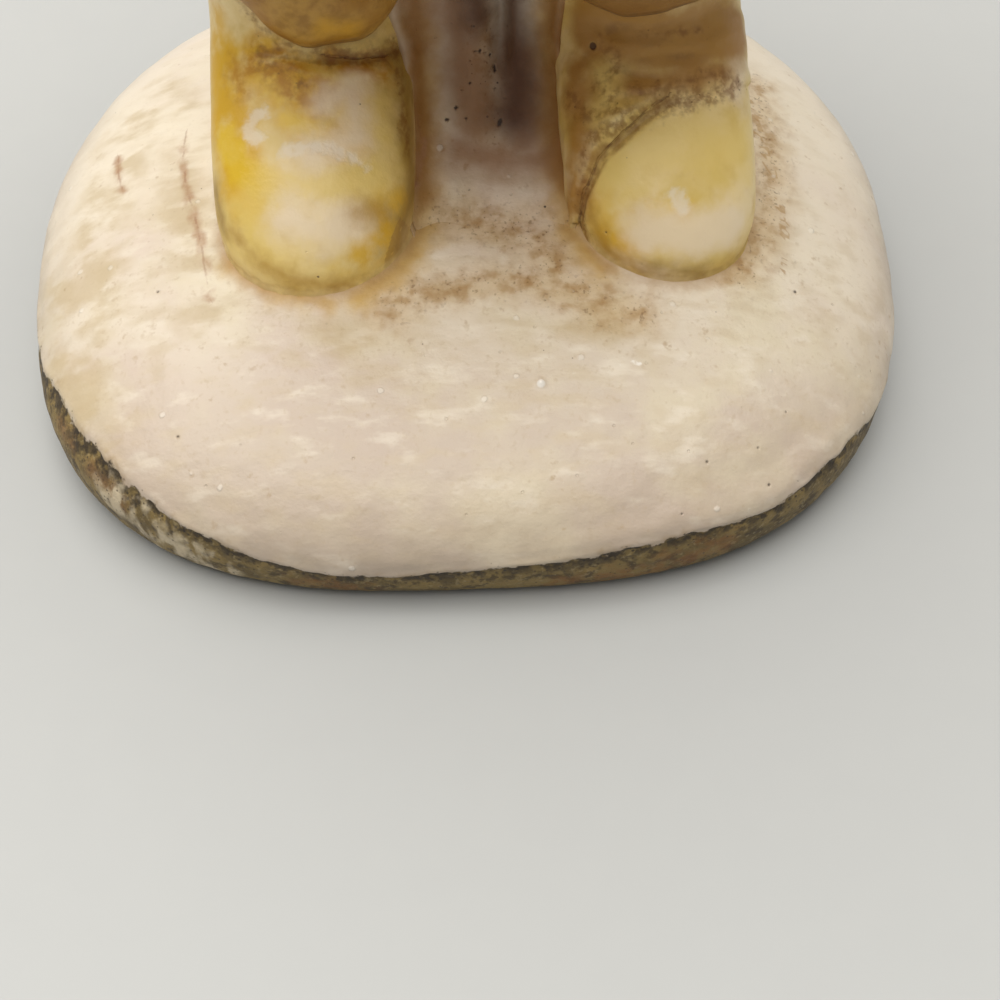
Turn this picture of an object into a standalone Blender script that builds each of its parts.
"""Porcelain santa figurine on a snow mound, built from the cast sections that a potter lutes together.

Metres, +Z up, and the figure faces -Y. The origin lies on the table, under the middle of the mound.
Right and left are the figure's own, so its right boot has the lower X.
"""

import math

import bmesh
import bpy
from mathutils import Euler, Matrix, Vector

# Room between one section and the next
CLEARANCE = 0.0003

# Snow mound, hollow from below and standing on a flat foot ring
MOUND_HALF_WIDTH = 0.033
MOUND_HALF_DEPTH = 0.0325
MOUND_HEIGHT = 0.015
MOUND_WIDEST_HEIGHT = 0.0045
MOUND_FOOT_TUCK = 0.0021
MOUND_WALL = 0.0042
FOOT_RING_WIDTH = 0.0038
FRONT_SQUARENESS = 2.83
BACK_SQUARENESS = 2.13

# Where the figure stands on the mound, and how far apart its feet are
FIGURE_X = 0.0018
FIGURE_Y = 0.005
STANCE_HALF = 0.0119

# Boots
BOOT_HEIGHT = 0.0175
SHAFT_RADIUS = 0.00715
TOE_REACH = 0.0124
INSTEP_HEIGHT = 0.015
SOLE_DEPTH = 0.006
SOLE_TUCK = 0.0006
SOLE_SINK = 0.0025
RIGHT_TOE_RADIUS = 0.0072
LEFT_TOE_RADIUS = 0.0066
RIGHT_TOE_OUT = 0.0003
LEFT_TOE_OUT = 0.0015

# Fur cuffs on the boots
BOOT_CUFF_THICKNESS = 0.0019
BOOT_CUFF_RISE = 0.001
RIGHT_CUFF_HEIGHT = 0.0066
LEFT_CUFF_HEIGHT = 0.0078
RIGHT_CUFF_DROOP = 0.0038
LEFT_CUFF_DROOP = 0.001
CUFF_LOBE_WIDTH = math.radians(38)

# Trouser legs and the web of snow that stiffens them
LEG_HEIGHT = 0.0125
LEG_RADIUS = 0.0079
LEG_LEAN = 0.0012
WEB_HALF_WIDTH = 0.006
WEB_FOOT_SPREAD = 0.0024
WEB_FRONT = 0.0049
WEB_BACK = 0.0052
WEB_FOOT_FRONT = 0.0098
WEB_FOOT_BACK = 0.0062
WEB_HOLLOW = 0.0016

# Coat, in a skirt below the waist and a torso above it
SKIRT_HEIGHT = 0.0235
SKIRT_RECESS = 0.003
SKIRT_WALL = 0.0034
SKIRT_FOLDS = 9
SKIRT_FOLD_DEPTH = 0.0014
HEM_HALF_WIDTH = 0.0262
HEM_FRONT = 0.0198
HEM_BACK = 0.0188
WAIST_HALF_WIDTH = 0.0232
WAIST_FRONT = 0.0198
WAIST_BACK = 0.0165
TORSO_HEIGHT = 0.0325
BELLY_SWELL = 0.0006
NECK_RADIUS = 0.0068

# Fur on the coat
HEM_FUR_THICKNESS = 0.0024
HEM_FUR_HEIGHT = 0.0072
COLLAR_HALF_WIDTH = 0.0132
COLLAR_HALF_DEPTH = 0.011
COLLAR_THICKNESS = 0.0028
COLLAR_HEIGHT = 0.0066
COLLAR_FORWARD = 0.0005
COLLAR_TILT = math.radians(6)
STRIP_HALF_WIDTH = 0.0032
STRIP_THICKNESS = 0.0017
CHEST_STRIP_SHARE = 0.86

# Belt and buckle
BELT_HEIGHT = 0.0064
BELT_THICKNESS = 0.0015
BUCKLE_WIDTH = 0.0108
BUCKLE_HEIGHT = 0.0086
BUCKLE_RIM = 0.002
BUCKLE_THICKNESS = 0.0014
BUCKLE_CORNER = 0.0012

# Arms, bent at the elbow so that the hands rest on the belly
SHOULDER_OUT = 0.0118
SHOULDER_BACK = 0.0005
SHOULDER_DROP = 0.0066
SLEEVE_RADIUS = 0.007
ELBOW_OUT = 0.0272
ELBOW_BACK = 0.003
ELBOW_DROP = 0.0275
ELBOW_SLACK = 0.0018
WRIST_RADIUS = 0.0052
WRIST_OUT = 0.0136
WRIST_FORWARD = 0.0176
WRIST_DROP = 0.025
SLEEVE_CUFF_THICKNESS = 0.0022
SLEEVE_CUFF_LENGTH = 0.0054
MITTEN_LENGTH = 0.0148
MITTEN_HEIGHT = 0.0098
MITTEN_THICKNESS = 0.0078
MITTEN_GAP = 0.0011
MITTEN_RISE = 0.0006
MITTEN_SINK_SHARE = 0.14
MITTEN_TURN = math.radians(14)
THUMB_LENGTH = 0.0074
THUMB_RADIUS = 0.0019
THUMB_LEAN = math.radians(24)

# Head, hair, beard and moustache
HEAD_HALF_WIDTH = 0.0115
HEAD_HALF_HEIGHT = 0.014
HEAD_FORWARD = 0.0015
CHIN_SINK = 0.0055
NOSE_RADIUS = 0.0021
CHEEK_RADIUS = 0.0036
CHEEK_OUT = 0.0054
HAIR_THICKNESS = 0.0018
HAIR_FORWARD = 0.0008
BEARD_HALF_WIDTH = 0.0122
BEARD_LENGTH = 0.0235
BEARD_THICKNESS = 0.0017
BEARD_SWELL = 0.0012
BEARD_DEPTH = 0.0135
BEARD_LOCKS = 7
BEARD_LOCK_DEPTH = 0.0004
MOUSTACHE_LENGTH = 0.0088
MOUSTACHE_RADIUS = 0.002
MOUSTACHE_DROOP = 0.0022
MOUSTACHE_WRAP = 0.0032
MOUSTACHE_STEPS = 4

# Cap with a fur band, folded over to the figure's left
BAND_THICKNESS = 0.003
BAND_HEIGHT = 0.0064
BAND_RISE = 0.0095
BAND_TILT = math.radians(7)
CAP_RADIUS = 0.0121
CAP_HEIGHT = 0.0225
CAP_BACK = 0.002
CAP_FOLD_OUT = 0.0172
CAP_TIP_RISE = 0.0078
CAP_TIP_RADIUS = 0.0021
CAP_TAPER = 1.35
POMPOM_RADIUS = 0.0043

# How finely the round forms are faceted
MOUND_SIDES = 44
HOLLOW_SIDES = 28
BODY_SIDES = 32
LIMB_SIDES = 18
SLEEVE_SIDES = 16
FUR_SIDES = 8
FUR_TURNS = 28
BEARD_SIDES = 28
CUFF_TURNS = 18
SLEEVE_STEPS = 10
CAP_STEPS = 11

# Levels that several sections share, from the table up
SOLE_LEVEL = MOUND_HEIGHT - SOLE_SINK
BOOT_TOP = MOUND_HEIGHT + BOOT_HEIGHT
LEG_TOP = BOOT_TOP + LEG_HEIGHT
HEM_LEVEL = LEG_TOP + CLEARANCE - SKIRT_RECESS
WAIST_LEVEL = HEM_LEVEL + SKIRT_HEIGHT
TORSO_BOTTOM = WAIST_LEVEL + CLEARANCE
TORSO_TOP = TORSO_BOTTOM + TORSO_HEIGHT
HEAD_LEVEL = TORSO_TOP - CHIN_SINK + HEAD_HALF_HEIGHT
BAND_LEVEL = HEAD_LEVEL + BAND_RISE
FIGURE_AXIS = Vector((FIGURE_X, FIGURE_Y, 0))

# Paint and clay, as colour, roughness and metallic value
FINISHES = {
    "bisque_snow": ((0.74, 0.66, 0.54), 0.5, 0.0),
    "bisque_shade": ((0.52, 0.42, 0.32), 0.6, 0.0),
    "boot_yellow": ((0.72, 0.50, 0.14), 0.42, 0.0),
    "fur_cream": ((0.70, 0.61, 0.45), 0.6, 0.0),
    "coat_red": ((0.42, 0.05, 0.04), 0.45, 0.0),
    "belt_black": ((0.03, 0.028, 0.026), 0.4, 0.0),
    "buckle_gold": ((0.66, 0.45, 0.14), 0.35, 0.6),
    "skin": ((0.76, 0.47, 0.34), 0.45, 0.0),
    "beard_white": ((0.78, 0.74, 0.66), 0.55, 0.0),
}


def clear_scene():
    """Remove what the startup file holds."""
    for thing in list(bpy.data.objects):
        bpy.data.objects.remove(thing)


def new_collection(name):
    """A collection under the scene's own."""
    group = bpy.data.collections.new(name)
    bpy.context.scene.collection.children.link(group)
    return group


def finish(name):
    """The Principled material of this name, made on first use."""
    if name in bpy.data.materials:
        return bpy.data.materials[name]
    colour, roughness, metallic = FINISHES[name]
    material = bpy.data.materials.new(name)
    material.use_nodes = True
    shader = material.node_tree.nodes["Principled BSDF"]
    shader.inputs["Base Color"].default_value = (*colour, 1)
    shader.inputs["Roughness"].default_value = roughness
    shader.inputs["Metallic"].default_value = metallic
    material.diffuse_color = (*colour, 1)
    return material


def smooth_mesh(shape, name):
    """Turn a bmesh into a smooth-shaded mesh whose faces point out."""
    bmesh.ops.recalc_face_normals(shape, faces=shape.faces)
    mesh = bpy.data.meshes.new(name)
    shape.to_mesh(mesh)
    shape.free()
    mesh.shade_smooth()
    mesh.set_sharp_from_angle(angle=math.radians(50))
    return mesh


def loft(name, rings, closed=False):
    """Skin a row of rings that have as many points each, and cap an open row's ends."""
    shape = bmesh.new()
    rows = []
    for ring in rings:
        rows.append([shape.verts.new(point) for point in ring])
    after = rows[1:] + rows[:1] if closed else rows[1:]
    for low, high in zip(rows, after):
        for step in range(len(low)):
            beside = (step + 1) % len(low)
            shape.faces.new((low[step], low[beside], high[beside], high[step]))
    if not closed:
        caps = [shape.faces.new(rows[0]), shape.faces.new(rows[-1])]
        bmesh.ops.poke(shape, faces=caps)
    return smooth_mesh(shape, name)


def power(value, squareness):
    """A sine or cosine bent towards a squarer outline."""
    return math.copysign(abs(value) ** (2 / squareness), value)


def oval(centre, half_width, front, back, sides, squareness=(2, 2), folds=0, fold_depth=0.0):
    """A level ring that reaches front towards -Y and back towards +Y, with any number of folds."""
    ring = []
    for step in range(sides):
        turn = math.tau * step / sides
        reach = back if math.sin(turn) > 0 else front
        bend = squareness[1] if math.sin(turn) > 0 else squareness[0]
        ripple = fold_depth * math.cos(folds * (turn + math.pi / 2))
        x = (half_width + ripple) * power(math.cos(turn), bend)
        y = (reach + ripple) * power(math.sin(turn), bend)
        ring.append(centre + Vector((x, y, 0)))
    return ring


def sweep(path, sizes, sides, upright=Vector((0, 0, 1))):
    """Oval rings square to a path, each as wide and as tall as sizes says, carried along without twist."""
    rings = []
    side = directions(path)[0].cross(upright)
    for centre, along, (wide, tall) in zip(path, directions(path), sizes):
        side = (side - along * side.dot(along)).normalized()
        up = side.cross(along)
        ring = []
        for step in range(sides):
            turn = math.tau * step / sides
            ring.append(centre + side * (wide * math.cos(turn)) + up * (tall * math.sin(turn)))
        rings.append(ring)
    return rings


def bezier(start, start_handle, end_handle, end, steps):
    """Points along a cubic curve, evenly spaced in its own measure."""
    path = []
    for step in range(steps + 1):
        t = step / steps
        rest = 1 - t
        blend = start * rest**3 + start_handle * (3 * rest**2 * t)
        path.append(blend + end_handle * (3 * rest * t**2) + end * t**3)
    return path


def directions(path):
    """The way that an open path runs at each of its points."""
    ahead = path[1:] + [path[-1]]
    behind = [path[0]] + path[:-1]
    return [(far - near).normalized() for near, far in zip(behind, ahead)]


def fur_ring(name, centre, half_width, half_depth, thickness, height, turns, droop=0.0, tilt=None):
    """A closed roll of fur round an oval, with lumps, whose lower edge hangs down by droop at the front."""
    tilt = tilt or Matrix.Identity(3)
    rings = []
    for step in range(turns):
        turn = math.tau * step / turns
        way = Vector((math.cos(turn), math.sin(turn), 0))
        lump = 1 + 0.06 * math.cos(turns / 4 * turn) + 0.03 * math.cos(5 * turn)
        aside = abs((turn + math.pi / 2 + math.pi) % math.tau - math.pi)
        sag = droop * math.exp(-((aside / CUFF_LOBE_WIDTH) ** 2))
        ring = []
        for spin in range(FUR_SIDES):
            angle = math.tau * spin / FUR_SIDES
            out = thickness * lump * math.cos(angle)
            up = height / 2 * lump * math.sin(angle) - sag * (1 - math.sin(angle)) / 2
            point = Vector((half_width * way.x + out * way.x, half_depth * way.y + out * way.y, up))
            ring.append(centre + tilt @ point)
        rings.append(ring)
    return loft(name, rings, closed=True)


def ellipsoid(name, centre, radii, turn=None, segments=20, rings=12):
    """A UV sphere pressed into an ellipsoid, set down where it belongs."""
    shape = bmesh.new()
    bmesh.ops.create_uvsphere(shape, u_segments=segments, v_segments=rings, radius=1)
    turned = (turn or Matrix.Identity(3)).to_4x4()
    placing = Matrix.Translation(centre) @ turned @ Matrix.Diagonal((*radii, 1))
    bmesh.ops.transform(shape, matrix=placing, verts=shape.verts)
    return smooth_mesh(shape, name)


def helper(name, mesh):
    """A cutter or a lump to be joined, which isn't a section itself."""
    thing = bpy.data.objects.new(name, mesh)
    cutters.objects.link(thing)
    thing.hide_render = True
    thing.display_type = "WIRE"
    return thing


def add_room(name, mesh):
    """A form swelled by CLEARANCE, which cuts the sections that are added later."""
    room = helper(name + "_room", mesh)
    swell = room.modifiers.new("swell", "DISPLACE")
    swell.strength = CLEARANCE
    swell.mid_level = 0
    return room


def combine(section, other, operation):
    """Join, cut or clip a section with a helper."""
    modifier = section.modifiers.new(other.name, "BOOLEAN")
    modifier.operation = operation
    modifier.object = other


def add_section(name, mesh, material, against=(), lumps=()):
    """Add a section with its lumps joined on, and cut it back to CLEARANCE from its neighbours.

    The sections in against were added earlier and keep their form.
    """
    section = bpy.data.objects.new(name, mesh)
    figurine.objects.link(section)
    mesh.materials.append(finish(material))
    rooms[name] = [add_room(name, mesh)]
    for lump in lumps:
        combine(section, helper(lump.name, lump), "UNION")
        rooms[name].append(add_room(lump.name, lump))
    if against:
        cuts = bpy.data.collections.new(name + "_cuts")
        for other in against:
            for room in rooms[other]:
                cuts.objects.link(room)
        modifier = section.modifiers.new("fit", "BOOLEAN")
        modifier.operation = "DIFFERENCE"
        modifier.operand_type = "COLLECTION"
        modifier.collection = cuts
    return section


def mound_rings(inset, foot, crown, bottom, sides, degrees):
    """Level rings of the mound's form, drawn in by inset all round and closed at the height crown."""
    squareness = (FRONT_SQUARENESS, BACK_SQUARENESS)
    half_width = MOUND_HALF_WIDTH - inset
    half_depth = MOUND_HALF_DEPTH - inset
    rings = []

    def add(scale, height):
        depth = half_depth * scale
        centre = Vector((0, 0, height))
        rings.append(oval(centre, half_width * scale, depth, depth, sides, squareness))

    for share in (0, 0.3, 0.65):
        rest = 1 - share
        tuck = foot / MOUND_HALF_WIDTH * (1 - math.sqrt(1 - rest**2))
        add(1 - tuck, bottom + (MOUND_WIDEST_HEIGHT - bottom) * share)
    for angle in map(math.radians, degrees):
        rise = crown - MOUND_WIDEST_HEIGHT
        add(math.cos(angle), MOUND_WIDEST_HEIGHT + rise * math.sin(angle))
    return rings


def build_mound():
    """The snow mound: a domed shell, open below inside its foot ring."""
    outer = mound_rings(0, MOUND_FOOT_TUCK, MOUND_HEIGHT, 0, MOUND_SIDES, (0, 13, 27, 42, 57, 72, 84))
    mound = add_section("base_mound", loft("base_mound", outer), "bisque_snow")
    tuck = MOUND_FOOT_TUCK + FOOT_RING_WIDTH - MOUND_WALL
    roof = MOUND_HEIGHT - MOUND_WALL
    inner = mound_rings(MOUND_WALL, tuck, roof, -CLEARANCE, HOLLOW_SIDES, (0, 22, 45, 65, 82))
    combine(mound, helper("mound_hollow", loft("mound_hollow", inner)), "DIFFERENCE")


def foot_profile(share):
    """How far forward the toe reaches, from 1 at the sole to 0 where the instep meets the shaft."""
    return (1 + math.cos(math.pi * min(max(share, 0), 1) ** 1.4)) / 2


def build_boot(side_name, side, toe_radius, toe_out):
    """One boot: a rounded toe, an instep and a shaft, cut below to the mound it stands on."""
    heel = FIGURE_AXIS + Vector((side * STANCE_HALF, 0, 0))
    levels = [MOUND_HEIGHT - SOLE_DEPTH]
    levels += [SOLE_LEVEL + INSTEP_HEIGHT * share for share in (0, 0.1, 0.22, 0.36, 0.5, 0.63, 0.76, 0.9)]
    levels += [BOOT_TOP]
    rings = []
    for level in levels:
        share = (level - SOLE_LEVEL) / INSTEP_HEIGHT
        forward = foot_profile(share)
        tuck = SOLE_TUCK * (1 - min(max(share, 0) / 0.22, 1)) ** 2
        toe = heel + Vector((side * toe_out * forward, -TOE_REACH * forward, 0))
        front_radius = SHAFT_RADIUS + (toe_radius - SHAFT_RADIUS) * forward - tuck
        ring = []
        for step in range(LIMB_SIDES):
            turn = math.tau * step / LIMB_SIDES
            at_front = math.sin(turn) < 0
            centre = toe if at_front else heel
            radius = front_radius if at_front else SHAFT_RADIUS - tuck
            ring.append(centre + Vector((radius * math.cos(turn), radius * math.sin(turn), level)))
        rings.append(ring)
    mesh = loft(side_name + "_boot", rings)
    add_section(side_name + "_boot", mesh, "boot_yellow", ["base_mound"])


def leg_centre(side, share):
    """The middle of a trouser leg, which leans in a little towards the hips."""
    return FIGURE_AXIS + Vector((side * (STANCE_HALF - LEG_LEAN * share), 0, 0))


def build_trouser_leg(side_name, side):
    """One trouser leg, puffed out above the boot and pressed against the coat's underside."""
    bottom = BOOT_TOP + CLEARANCE
    rings = []
    for share in (0, 0.2, 0.45, 0.7, 1):
        radius = SHAFT_RADIUS + (LEG_RADIUS - SHAFT_RADIUS) * math.sin(math.pi * min(share + 0.12, 0.5))
        level = bottom + (LEG_TOP - bottom) * share
        centre = leg_centre(side, share) + Vector((0, 0, level))
        rings.append(oval(centre, radius, radius, radius, LIMB_SIDES))
    mesh = loft(side_name + "_trouser_leg", rings)
    add_section(side_name + "_trouser_leg", mesh, "coat_red")


def build_boot_cuff(side_name, side, height, droop):
    """The roll of fur that hangs over a boot's top edge."""
    centre = FIGURE_AXIS + Vector((side * STANCE_HALF, 0, BOOT_TOP + BOOT_CUFF_RISE))
    radius = SHAFT_RADIUS
    sizes = (radius, radius, BOOT_CUFF_THICKNESS, height)
    mesh = fur_ring(side_name + "_boot_cuff", centre, *sizes, CUFF_TURNS, droop)
    neighbours = [side_name + "_boot", side_name + "_trouser_leg"]
    add_section(side_name + "_boot_cuff", mesh, "fur_cream", neighbours)


def build_web():
    """The web of snow between the legs, spread where it meets the mound."""
    bottom = MOUND_HEIGHT - SOLE_DEPTH
    rings = []
    for share in (0, 0.12, 0.2, 0.3, 0.42, 0.56, 0.75, 1):
        spread = (1 - min(max(share - 0.1, 0) / 0.42, 1)) ** 2
        half_width = WEB_HALF_WIDTH + WEB_FOOT_SPREAD * spread
        front = WEB_FRONT + WEB_FOOT_FRONT * spread
        back = WEB_BACK + WEB_FOOT_BACK * spread
        centre = FIGURE_AXIS + Vector((0, 0, bottom + (LEG_TOP - bottom) * share))
        ring = oval(centre, half_width, front, back, LIMB_SIDES, (3.2, 2.4))
        for point in ring:
            inward = 1 - (abs(point.x - centre.x) / half_width) ** 2
            point.y += WEB_HOLLOW * inward if point.y < centre.y else 0
        rings.append(ring)
    neighbours = ["base_mound"]
    for side_name in ("right", "left"):
        neighbours += [side_name + "_boot", side_name + "_trouser_leg", side_name + "_boot_cuff"]
    add_section("leg_web", loft("leg_web", rings), "bisque_shade", neighbours)


def coat_outline(level, extra=0.0, folds=0, fold_depth=0.0):
    """The coat's level ring at a height, swelled by extra, from hem to waist to neck."""
    if level <= WAIST_LEVEL:
        share = (level - HEM_LEVEL) / SKIRT_HEIGHT
        ease = (1 - share) ** 1.5
        half_width = WAIST_HALF_WIDTH + (HEM_HALF_WIDTH - WAIST_HALF_WIDTH) * ease
        front = WAIST_FRONT + (HEM_FRONT - WAIST_FRONT) * ease
        back = WAIST_BACK + (HEM_BACK - WAIST_BACK) * ease
    else:
        share = min((level - WAIST_LEVEL) / (TORSO_TOP - WAIST_LEVEL), 1)
        ease = math.sqrt(max(1 - share**2.7, 0))
        belly = BELLY_SWELL * math.sin(math.pi * min(share / 0.45, 1))
        half_width = NECK_RADIUS + (WAIST_HALF_WIDTH - NECK_RADIUS) * ease + belly / 2
        front = NECK_RADIUS + (WAIST_FRONT - NECK_RADIUS) * ease + belly
        back = NECK_RADIUS + (WAIST_BACK - NECK_RADIUS) * ease
    centre = FIGURE_AXIS + Vector((0, 0, level))
    sizes = (half_width + extra, front + extra, back + extra)
    return oval(centre, *sizes, BODY_SIDES, (2.15, 2.15), folds, fold_depth)


def coat_front(level):
    """The foremost point of the coat at a height."""
    return min(coat_outline(level), key=lambda point: point.y)


def build_skirt():
    """The coat below the belt: folds that open towards the hem, and a recess that takes the legs."""
    rings = []
    for share in (0, 0.12, 0.3, 0.5, 0.75, 1):
        level = HEM_LEVEL + SKIRT_HEIGHT * share
        rings.append(coat_outline(level, 0, SKIRT_FOLDS, SKIRT_FOLD_DEPTH * (1 - share)))
    skirt = add_section("coat_skirt", loft("coat_skirt", rings), "coat_red")
    lips = [HEM_LEVEL - CLEARANCE, HEM_LEVEL + SKIRT_RECESS]
    recess = []
    for level in lips:
        recess.append(coat_outline(max(level, HEM_LEVEL), -SKIRT_WALL))
        for point in recess[-1]:
            point.z = level
    combine(skirt, helper("skirt_recess", loft("skirt_recess", recess)), "DIFFERENCE")


def build_torso():
    """The coat above the belt: a full belly, sloping shoulders and a flat seat for the head."""
    rings = []
    for share in (0, 0.1, 0.22, 0.35, 0.5, 0.64, 0.76, 0.86, 0.94, 1):
        rings.append(coat_outline(TORSO_BOTTOM + TORSO_HEIGHT * share))
    add_section("coat_torso", loft("coat_torso", rings), "coat_red")


def build_belt():
    """A flat leather band round the waist, over both halves of the coat."""
    rings = []
    for share, lift in ((-0.5, 0.55), (-0.36, 1), (0, 1.08), (0.36, 1), (0.5, 0.55)):
        level = WAIST_LEVEL + BELT_HEIGHT * share
        rings.append(coat_outline(level, BELT_THICKNESS * lift))
    add_section("belt", loft("belt", rings), "belt_black", ["coat_skirt", "coat_torso"])


def rounded_frame(name, width, height, corner, thickness):
    """A rounded oblong block, lying in the XZ plane round the origin."""
    outline = []
    for right, top in ((1, 1), (-1, 1), (-1, -1), (1, -1)):
        start = {(1, 1): 0, (-1, 1): 90, (-1, -1): 180, (1, -1): 270}[right, top]
        for degrees in (0, 45, 90):
            angle = math.radians(start + degrees)
            x = right * (width / 2 - corner) + corner * math.cos(angle)
            z = top * (height / 2 - corner) + corner * math.sin(angle)
            outline.append(Vector((x, 0, z)))
    front = [point + Vector((0, -thickness, 0)) for point in outline]
    return loft(name, [outline, front])


def build_buckle():
    """The belt's buckle: a frame with a window, seated on the belt's front."""
    seat = coat_front(WAIST_LEVEL) - Vector((0, BELT_THICKNESS, 0))
    depth = BUCKLE_THICKNESS + 2 * BELT_THICKNESS
    outer = rounded_frame("belt_buckle", BUCKLE_WIDTH, BUCKLE_HEIGHT, BUCKLE_CORNER, depth)
    inner_size = (BUCKLE_WIDTH - 2 * BUCKLE_RIM, BUCKLE_HEIGHT - 2 * BUCKLE_RIM)
    window = rounded_frame("buckle_window", *inner_size, BUCKLE_CORNER / 2, depth * 3)
    outer.transform(Matrix.Translation(seat + Vector((0, 2 * BELT_THICKNESS, 0))))
    window.transform(Matrix.Translation(seat + Vector((0, depth, 0))))
    buckle = add_section("belt_buckle", outer, "buckle_gold", ["belt", "coat_skirt", "coat_torso"])
    combine(buckle, helper("buckle_window", window), "DIFFERENCE")


def front_strip(name, levels, neighbours):
    """A strip of fur up the middle of the coat, following the coat's front over these levels."""
    path = [coat_front(level) for level in levels]
    lumps = [1 + 0.05 * math.cos(order * 2.1) for order in range(len(path))]
    sizes = [(STRIP_HALF_WIDTH * lump, STRIP_THICKNESS * lump) for lump in lumps]
    rings = sweep(path, sizes, 12, Vector((0, -1, 0)))
    add_section(name, loft(name, rings), "fur_cream", neighbours)


def spread_levels(bottom, top, count):
    """Evenly spread heights from bottom to top."""
    return [bottom + (top - bottom) * step / (count - 1) for step in range(count)]


def build_hem_fur():
    """The wide roll of fur round the coat's hem."""
    centre = FIGURE_AXIS + Vector((0, (HEM_BACK - HEM_FRONT) / 2, HEM_LEVEL + HEM_FUR_HEIGHT / 5))
    half_depth = (HEM_BACK + HEM_FRONT) / 2
    sizes = (HEM_HALF_WIDTH, half_depth, HEM_FUR_THICKNESS, HEM_FUR_HEIGHT)
    mesh = fur_ring("coat_hem_fur", centre, *sizes, BODY_SIDES)
    add_section("coat_hem_fur", mesh, "fur_cream", ["coat_skirt"])


def build_strips():
    """The coat's front edges, trimmed with fur below and above the belt."""
    low = spread_levels(HEM_LEVEL, WAIST_LEVEL, 9)
    front_strip("skirt_front_fur", low, ["coat_skirt", "belt", "belt_buckle", "coat_hem_fur"])
    high = spread_levels(WAIST_LEVEL, TORSO_BOTTOM + TORSO_HEIGHT * CHEST_STRIP_SHARE, 10)
    front_strip("chest_front_fur", high, ["coat_torso", "belt", "belt_buckle"])


def arm_path(side):
    """The middle line of an arm, from inside the shoulder round the elbow to the wrist."""
    shoulder = Vector((SHOULDER_OUT, SHOULDER_BACK, -SHOULDER_DROP))
    upper = Vector((ELBOW_OUT, ELBOW_BACK, -(SHOULDER_DROP + ELBOW_DROP) / 2 + ELBOW_SLACK))
    lower = Vector((ELBOW_OUT, -WRIST_FORWARD / 2, -ELBOW_DROP - ELBOW_SLACK))
    wrist = Vector((WRIST_OUT, -WRIST_FORWARD, -WRIST_DROP))
    root = FIGURE_AXIS + Vector((0, 0, TORSO_TOP))
    points = [root + Vector((side * point.x, point.y, point.z)) for point in (shoulder, upper, lower, wrist)]
    return bezier(*points, SLEEVE_STEPS)


def build_sleeve(side_name, side):
    """One sleeve, full at the shoulder and drawn in at the wrist."""
    path = arm_path(side)
    shares = [order / SLEEVE_STEPS for order in range(SLEEVE_STEPS + 1)]
    radii = [SLEEVE_RADIUS + (WRIST_RADIUS - SLEEVE_RADIUS) * share**2 for share in shares]
    radii[0] *= 0.6
    mesh = loft(side_name + "_sleeve", sweep(path, zip(radii, radii), SLEEVE_SIDES, Vector((0, 1, 0))))
    add_section(side_name + "_sleeve", mesh, "coat_red", ["coat_torso", "coat_skirt", "belt"])


def build_sleeve_cuff(side_name, side):
    """The roll of fur at the end of a sleeve."""
    path = arm_path(side)
    along = (path[-1] - path[-2]).normalized()
    facing = along.to_track_quat("Z", "Y").to_matrix()
    name = side_name + "_sleeve_cuff"
    sizes = (WRIST_RADIUS, WRIST_RADIUS, SLEEVE_CUFF_THICKNESS, SLEEVE_CUFF_LENGTH)
    mesh = fur_ring(name, path[-1], *sizes, CUFF_TURNS, 0, facing)
    neighbours = [side_name + "_sleeve", "coat_torso", "belt", "coat_skirt"]
    add_section(name, mesh, "fur_cream", neighbours)


def build_mitten(side_name, side):
    """One mitten, flat on the belly with its thumb up."""
    wrist = arm_path(side)[-1]
    middle = FIGURE_X + side * (MITTEN_GAP + MITTEN_LENGTH / 2)
    belly = coat_front(wrist.z).y
    centre = Vector((middle, belly - MITTEN_THICKNESS * MITTEN_SINK_SHARE, wrist.z + MITTEN_RISE))
    turn = Euler((0, 0, side * MITTEN_TURN)).to_matrix()
    radii = (MITTEN_LENGTH / 2, MITTEN_THICKNESS / 2, MITTEN_HEIGHT / 2)
    palm = ellipsoid(side_name + "_mitten", centre, radii, turn, 16, 10)
    root = centre + Vector((side * MITTEN_LENGTH * 0.12, -MITTEN_THICKNESS * 0.12, MITTEN_HEIGHT * 0.42))
    lean = Euler((0, -side * THUMB_LEAN, 0)).to_matrix()
    thumb_radii = (THUMB_RADIUS, THUMB_RADIUS * 1.15, THUMB_LENGTH / 2)
    thumb = ellipsoid(side_name + "_thumb", root, thumb_radii, lean, 10, 7)
    neighbours = [side_name + "_sleeve", side_name + "_sleeve_cuff", "coat_torso", "belt"]
    neighbours += ["chest_front_fur", "belt_buckle"]
    add_section(side_name + "_mitten", palm, "boot_yellow", neighbours, [thumb])


def head_centre():
    """The middle of the head."""
    return FIGURE_AXIS + Vector((0, -HEAD_FORWARD, HEAD_LEVEL))


def build_head():
    """The head: a rounded skull with a button nose, seated on the coat's neck."""
    radii = (HEAD_HALF_WIDTH, HEAD_HALF_WIDTH, HEAD_HALF_HEIGHT)
    skull = ellipsoid("head", head_centre(), radii, None, 24, 16)
    tip = head_centre() + Vector((0, -HEAD_HALF_WIDTH, HEAD_HALF_HEIGHT * 0.02))
    lumps = [ellipsoid("nose", tip, (NOSE_RADIUS, NOSE_RADIUS, NOSE_RADIUS * 0.9), None, 12, 8)]
    for side_name, side in (("right", -1), ("left", 1)):
        away = math.sqrt(HEAD_HALF_WIDTH**2 - CHEEK_OUT**2) - CHEEK_RADIUS * 0.72
        cheek = head_centre() + Vector((side * CHEEK_OUT, -away, -HEAD_HALF_HEIGHT * 0.07))
        lumps.append(ellipsoid(side_name + "_cheek", cheek, [CHEEK_RADIUS] * 3, None, 12, 8))
    add_section("head", skull, "skin", ["coat_torso"], lumps)


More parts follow.
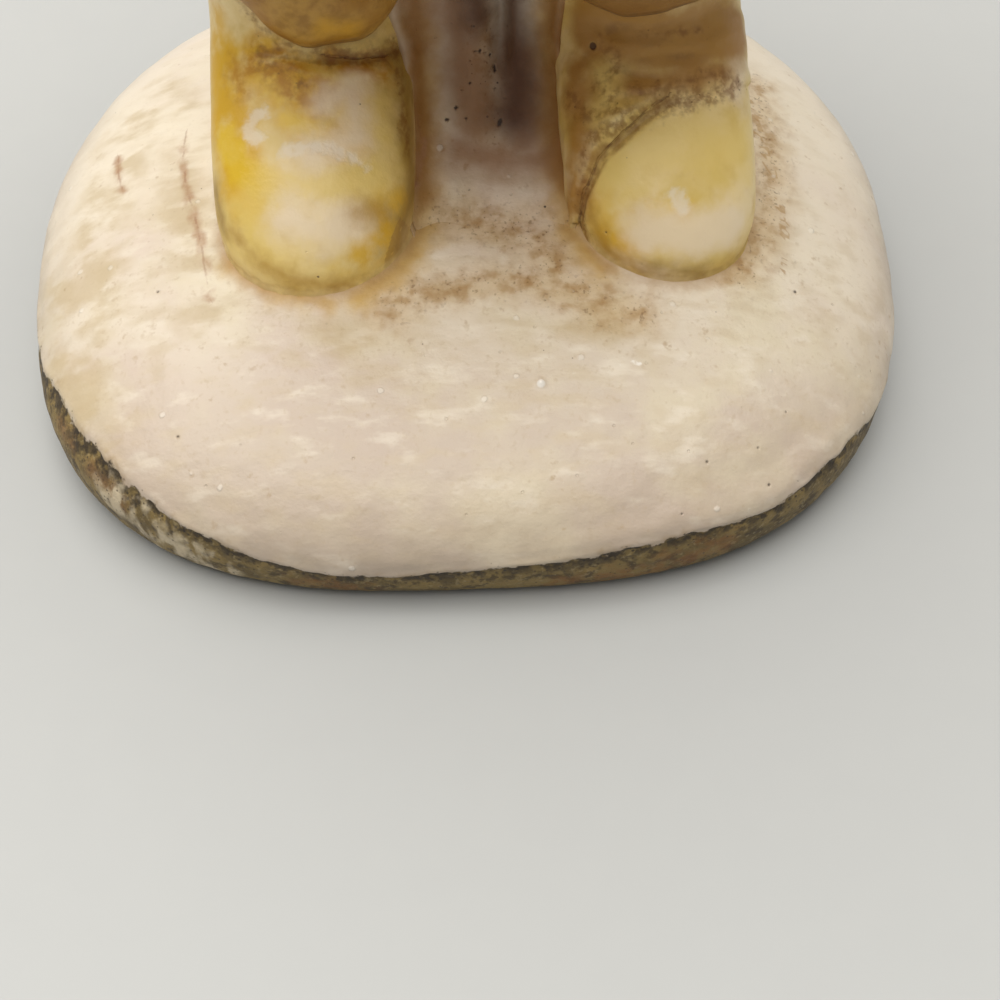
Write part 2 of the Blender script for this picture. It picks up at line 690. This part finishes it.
def build_collar():
    """The roll of fur round the neck."""
    centre = FIGURE_AXIS + Vector((0, -COLLAR_FORWARD, TORSO_TOP - COLLAR_HEIGHT / 3))
    sizes = (COLLAR_HALF_WIDTH, COLLAR_HALF_DEPTH, COLLAR_THICKNESS, COLLAR_HEIGHT)
    tilt = Euler((COLLAR_TILT, 0, 0)).to_matrix()
    mesh = fur_ring("collar_fur", centre, *sizes, FUR_TURNS, 0, tilt)
    neighbours = ["coat_torso", "head", "chest_front_fur", "right_sleeve", "left_sleeve"]
    add_section("collar_fur", mesh, "fur_cream", neighbours)


def cap_path():
    """The middle line of the cap, up from the band and over to the figure's left."""
    root = Vector((head_centre().x, head_centre().y, BAND_LEVEL))
    start = root - Vector((0, 0, BAND_HEIGHT * 0.1))
    upright = root + Vector((-CAP_FOLD_OUT * 0.22, 0, CAP_HEIGHT * 0.92))
    over = root + Vector((CAP_FOLD_OUT, CAP_BACK, CAP_HEIGHT * 1.13))
    tip = root + Vector((CAP_FOLD_OUT, 0, CAP_TIP_RISE))
    return bezier(start, upright, over, tip, CAP_STEPS)


def build_cap():
    """The soft cap, a cone whose tip hangs over one side."""
    shares = [order / CAP_STEPS for order in range(CAP_STEPS + 1)]
    radii = [CAP_TIP_RADIUS + (CAP_RADIUS - CAP_TIP_RADIUS) * (1 - share) ** CAP_TAPER for share in shares]
    rings = sweep(cap_path(), zip(radii, radii), LIMB_SIDES, Vector((0, -1, 0)))
    add_section("cap", loft("cap", rings), "coat_red", ["head"])


def build_cap_band():
    """The roll of fur round the cap's edge."""
    centre = Vector((head_centre().x, head_centre().y, BAND_LEVEL))
    tilt = Euler((-BAND_TILT, 0, 0)).to_matrix()
    sizes = (CAP_RADIUS, CAP_RADIUS, BAND_THICKNESS, BAND_HEIGHT)
    mesh = fur_ring("cap_band_fur", centre, *sizes, FUR_TURNS, 0, tilt)
    add_section("cap_band_fur", mesh, "fur_cream", ["head", "cap"])


def build_pompom():
    """The ball of fur at the cap's tip."""
    tip = cap_path()[-1] - Vector((0, 0, POMPOM_RADIUS * 0.8))
    radii = (POMPOM_RADIUS, POMPOM_RADIUS, POMPOM_RADIUS * 0.95)
    mesh = ellipsoid("cap_pompom", tip, radii, None, 14, 10)
    add_section("cap_pompom", mesh, "fur_cream", ["cap", "cap_band_fur"])


def build_hair():
    """The hair, a thick shell round the back and sides of the head, from the neck up into the cap's band."""
    back = HAIR_THICKNESS + HAIR_FORWARD
    centre = head_centre() + Vector((0, back, -HEAD_HALF_HEIGHT * 0.08))
    radius = HEAD_HALF_WIDTH + HAIR_THICKNESS
    mesh = ellipsoid("hair", centre, (radius, radius, HEAD_HALF_HEIGHT * 0.92), None, 24, 14)
    neighbours = ["head", "coat_torso", "collar_fur", "cap", "cap_band_fur"]
    hair = add_section("hair", mesh, "beard_white", neighbours)
    size = 2 * (HEAD_HALF_WIDTH + 2 * HAIR_THICKNESS)
    face_front = head_centre() - Vector((0, size / 2 + HAIR_FORWARD, 0))
    under_cap = head_centre() + Vector((0, 0, BAND_RISE - BAND_HEIGHT / 4 + size / 2))
    nape = Vector((head_centre().x, head_centre().y, TORSO_TOP + CLEARANCE - size / 2))
    for name, middle in (("face_opening", face_front), ("hair_top", under_cap), ("hair_foot", nape)):
        block = bmesh.new()
        bmesh.ops.create_cube(block, size=size)
        bmesh.ops.translate(block, vec=middle, verts=block.verts)
        combine(hair, helper(name, smooth_mesh(block, name)), "DIFFERENCE")


def build_beard():
    """The full beard, waved in locks, from the cheeks over the collar to a tip on the chest."""
    top = HEAD_LEVEL - HEAD_HALF_HEIGHT * 0.18
    face_front = HEAD_FORWARD + HEAD_HALF_WIDTH
    chest_front = FIGURE_Y - coat_front(top - BEARD_LENGTH).y
    rings = []
    for share in (0, 0.05, 0.16, 0.32, 0.5, 0.68, 0.84, 0.95, 1):
        width = BEARD_HALF_WIDTH * math.sqrt(1 - 0.97 * share**2.4)
        lead = BEARD_THICKNESS * min(share * 20, 1) + BEARD_SWELL * math.sin(math.pi * share)
        front = face_front + (chest_front - face_front) * share + lead * (1 - 0.5 * share**6)
        half_depth = BEARD_DEPTH / 2 * (1 - 0.45 * share)
        depths = (half_depth, half_depth)
        centre = FIGURE_AXIS + Vector((0, half_depth - front, top - BEARD_LENGTH * share))
        rings.append(oval(centre, width, *depths, BEARD_SIDES, (2.3, 2.3), BEARD_LOCKS, BEARD_LOCK_DEPTH))
    neighbours = ["head", "coat_torso", "collar_fur", "chest_front_fur", "hair"]
    neighbours += ["right_sleeve", "left_sleeve", "right_mitten", "left_mitten"]
    add_section("beard", loft("beard", rings), "beard_white", neighbours)


def build_moustache():
    """The moustache: two drooping locks that meet under the nose."""
    ahead = HEAD_HALF_WIDTH + MOUSTACHE_RADIUS * 0.35
    under_nose = head_centre() - Vector((0, ahead, HEAD_HALF_HEIGHT * 0.2))
    path = []
    radii = []
    for step in range(2 * MOUSTACHE_STEPS + 1):
        across = step / MOUSTACHE_STEPS - 1
        droop = MOUSTACHE_DROOP * across**2
        wrap = MOUSTACHE_WRAP * across**2
        path.append(under_nose + Vector((across * MOUSTACHE_LENGTH, wrap, -droop)))
        radii.append(MOUSTACHE_RADIUS * (0.78 + 0.6 * abs(across) - 1.1 * abs(across) ** 3))
    mesh = loft("moustache", sweep(path, [(radius * 0.9, radius) for radius in radii], 12))
    add_section("moustache", mesh, "beard_white", ["head", "beard", "hair"])


def main():
    build_mound()
    build_boot("right", -1, RIGHT_TOE_RADIUS, RIGHT_TOE_OUT)
    build_boot("left", 1, LEFT_TOE_RADIUS, LEFT_TOE_OUT)
    build_trouser_leg("right", -1)
    build_trouser_leg("left", 1)
    build_boot_cuff("right", -1, RIGHT_CUFF_HEIGHT, RIGHT_CUFF_DROOP)
    build_boot_cuff("left", 1, LEFT_CUFF_HEIGHT, LEFT_CUFF_DROOP)
    build_web()
    build_skirt()
    build_torso()
    build_belt()
    build_buckle()
    build_hem_fur()
    build_strips()
    build_sleeve("right", -1)
    build_sleeve("left", 1)
    build_sleeve_cuff("right", -1)
    build_sleeve_cuff("left", 1)
    build_mitten("right", -1)
    build_mitten("left", 1)
    build_head()
    build_collar()
    build_cap()
    build_cap_band()
    build_pompom()
    build_hair()
    build_beard()
    build_moustache()


clear_scene()
figurine = new_collection("santa_figurine")
cutters = new_collection("cutters")
rooms = {}
main()
